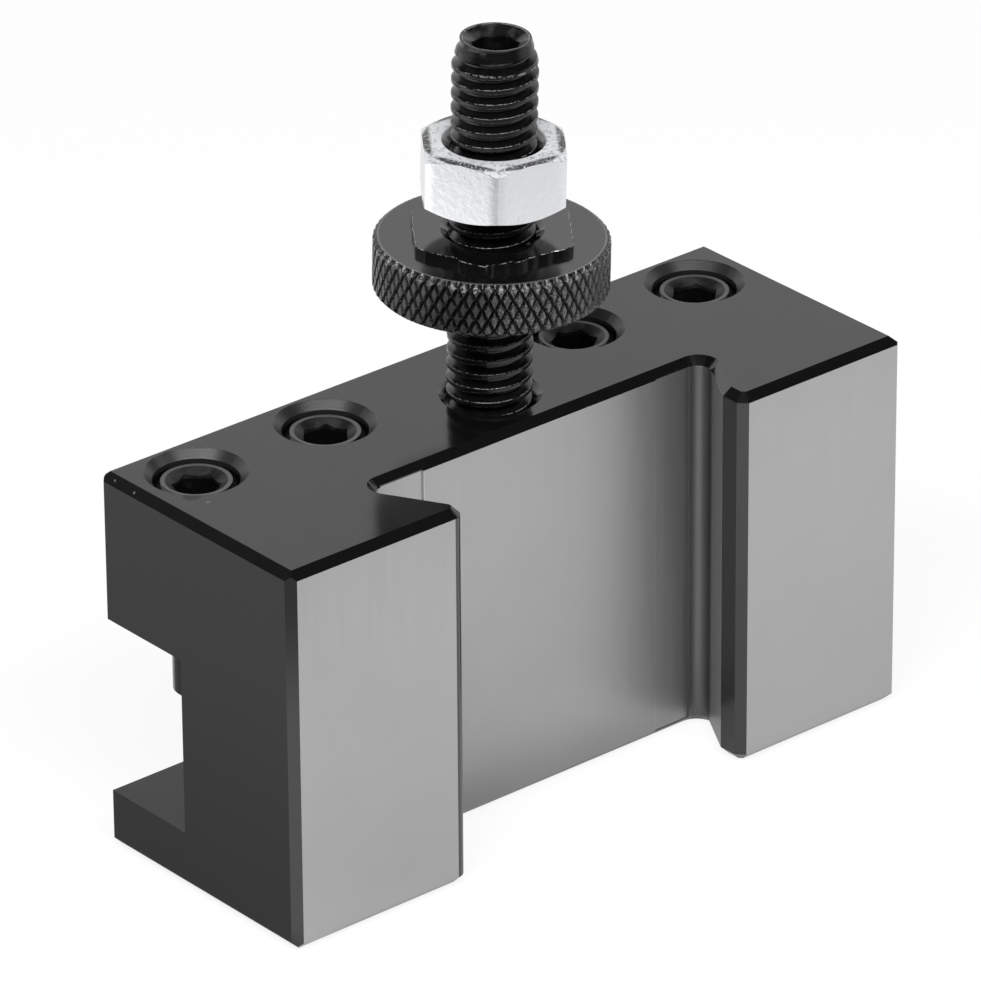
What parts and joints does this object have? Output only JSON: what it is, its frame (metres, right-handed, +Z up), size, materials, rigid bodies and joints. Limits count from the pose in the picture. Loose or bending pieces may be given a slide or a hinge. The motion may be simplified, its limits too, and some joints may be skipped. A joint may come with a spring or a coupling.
{
  "type": "quick change tool holder",
  "caption": "Lathe tool holder: a steel block with a dovetail in front, a tool slot behind with dog-point clamping screws, and a height stud with a knurled wheel and a lock nut.",
  "frame": {"origin": "middle of the block's base, halfway along its length and its depth", "axes": "+Z up along the clamping screws, -Y out of the dovetail towards the tool post, +X along the tool slot"},
  "size_m": [0.0728, 0.0266, 0.0736],
  "materials": {
    "blackened_block": "black oxide over ground steel, grey where it catches the light",
    "blackened_screw": "glossy black oxide, oiled",
    "blackened_wheel": "satin black oxide, bright at the knurl's tips",
    "zinc_nut": "bright zinc plate"
  },
  "bodies": {
    "holder": {"holder_block": "blackened_block", "height_stud": "blackened_screw"},
    "clamp_screw_1": {"set_screw_1": "blackened_screw"},
    "clamp_screw_2": {"set_screw_2": "blackened_screw"},
    "clamp_screw_3": {"set_screw_3": "blackened_screw"},
    "clamp_screw_4": {"set_screw_4": "blackened_screw"},
    "wheel": {"height_wheel": "blackened_wheel"},
    "nut": {"lock_nut": "zinc_nut"}
  },
  "joints": [
    {"name": "screw_1_travel", "type": "slide", "parent": "holder", "child": "clamp_screw_1", "axis": [0, 0, 1], "range_m": [-0.0102, 0.0073]},
    {"name": "screw_2_travel", "type": "slide", "parent": "holder", "child": "clamp_screw_2", "axis": [0, 0, 1], "range_m": [-0.0102, 0.0073]},
    {"name": "screw_3_travel", "type": "slide", "parent": "holder", "child": "clamp_screw_3", "axis": [0, 0, 1], "range_m": [-0.0102, 0.0073]},
    {"name": "screw_4_travel", "type": "slide", "parent": "holder", "child": "clamp_screw_4", "axis": [0, 0, 1], "range_m": [-0.0102, 0.0073]},
    {"name": "wheel_travel", "type": "slide", "parent": "holder", "child": "wheel", "axis": [0.018, -0.0151, 0.9997], "range_m": [-0.0102, 0.005]},
    {"name": "nut_travel", "type": "slide", "parent": "wheel", "child": "nut", "axis": [0.018, -0.0151, 0.9997], "range_m": [-0.003, 0.0044]}
  ]
}
